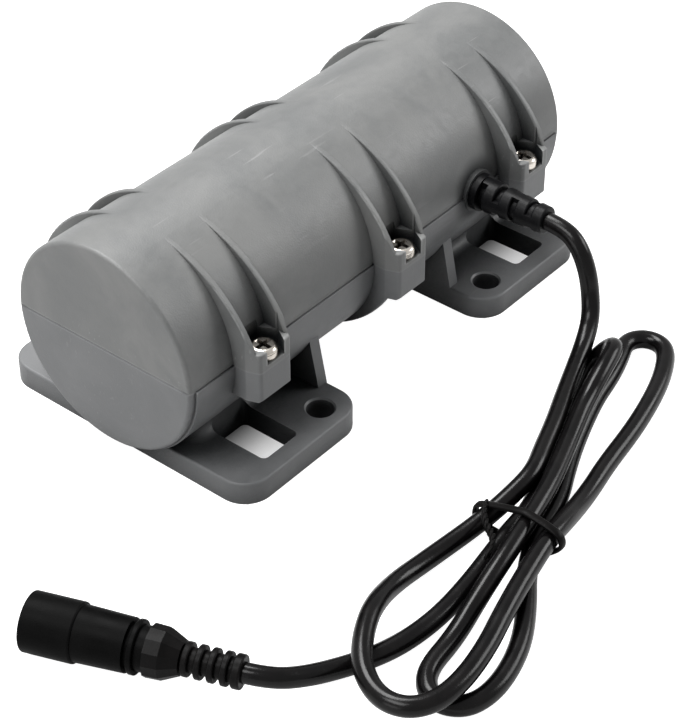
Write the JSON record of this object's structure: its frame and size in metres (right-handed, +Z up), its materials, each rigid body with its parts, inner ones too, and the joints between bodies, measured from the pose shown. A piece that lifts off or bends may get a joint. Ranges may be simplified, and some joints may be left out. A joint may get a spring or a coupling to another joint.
{
  "type": "vibration motor",
  "caption": "Compact vibration motor: barrel-shaped plastic casing on slotted feet, with eccentric weights on the shaft and a supply cord that ends in a barrel socket.",
  "frame": {"origin": "centre of the feet's footprint, on the plane the feet stand on; the cord, gland and connector are left out of it", "axes": "X along the shaft, the cord leaves near the +X end; -Y is the side the cord leaves from; +Z up"},
  "size_m": [0.1667, 0.1287, 0.047],
  "materials": {
    "casing_lower": "moulded grey plastic, fine matte grain",
    "casing_upper": "moulded grey plastic, fine matte grain",
    "screws": "nickel-plated steel",
    "seal_rubber": "soft black rubber",
    "gland_rubber": "satin black rubber",
    "cord_jacket": "satin black PVC",
    "tie_wire": "black plastic-coated wire",
    "lead_insulation": "PVC insulation",
    "can_steel": "zinc-plated drawn steel",
    "end_bell": "die cast",
    "lamination": "stacked silicon steel",
    "winding": "enamelled copper wire",
    "board": "green solder mask",
    "chip": "black epoxy",
    "shaft_steel": "ground steel",
    "magnet": "nickel-plated magnet",
    "spacer": "turned brass",
    "bearing_steel": "ground bearing steel",
    "cage": "pressed brass",
    "ball": "polished steel",
    "weight": "sintered steel",
    "set_screw": "black oxide steel",
    "connector_plastic": "satin black moulded plastic",
    "boot_rubber": "satin black moulded PVC",
    "contact": "nickel-plated contact"
  },
  "bodies": {
    "housing": {"lower_shell": "casing_lower", "upper_shell": "casing_upper", "cover_screws": "screws", "seam_seal": "seal_rubber", "cable_gland": "gland_rubber", "supply_cord": "cord_jacket", "cord_tie": "tie_wire", "power_leads": "lead_insulation", "motor_can": "can_steel", "front_end_bell": "end_bell", "rear_end_bell": "end_bell", "stator_core": "lamination", "stator_coils": "winding", "driver_board": "board", "board_components": "chip", "front_bearing_outer_ring": "bearing_steel", "rear_bearing_outer_ring": "bearing_steel", "connector_shell": "connector_plastic", "connector_boot": "boot_rubber", "connector_sleeve_contact": "contact", "connector_pin": "contact"},
    "rotor": {"rotor_shaft": "shaft_steel", "rotor_core": "lamination", "rotor_magnets": "magnet", "shaft_spacers": "spacer", "front_bearing_inner_ring": "bearing_steel", "rear_bearing_inner_ring": "bearing_steel", "front_weight": "weight", "rear_weight": "weight", "weight_set_screws": "set_screw"},
    "front_cage": {"front_bearing_cage": "cage", "front_bearing_balls": "ball"},
    "rear_cage": {"rear_bearing_cage": "cage", "rear_bearing_balls": "ball"}
  },
  "joints": [
    {"name": "rotor_spin", "type": "hinge", "parent": "housing", "child": "rotor", "pos_m": [0, 0, 0.025], "axis": [1, 0, 0], "continuous": true},
    {"name": "front_cage_spin", "type": "hinge", "parent": "housing", "child": "front_cage", "pos_m": [-0.023, 0, 0.025], "axis": [1, 0, 0], "continuous": true},
    {"name": "rear_cage_spin", "type": "hinge", "parent": "housing", "child": "rear_cage", "pos_m": [0.023, 0, 0.025], "axis": [1, 0, 0], "continuous": true}
  ],
  "couplings": [
    {"joint": "front_cage_spin", "follows": "rotor_spin", "ratio": 0.3804},
    {"joint": "rear_cage_spin", "follows": "rotor_spin", "ratio": 0.3804}
  ]
}
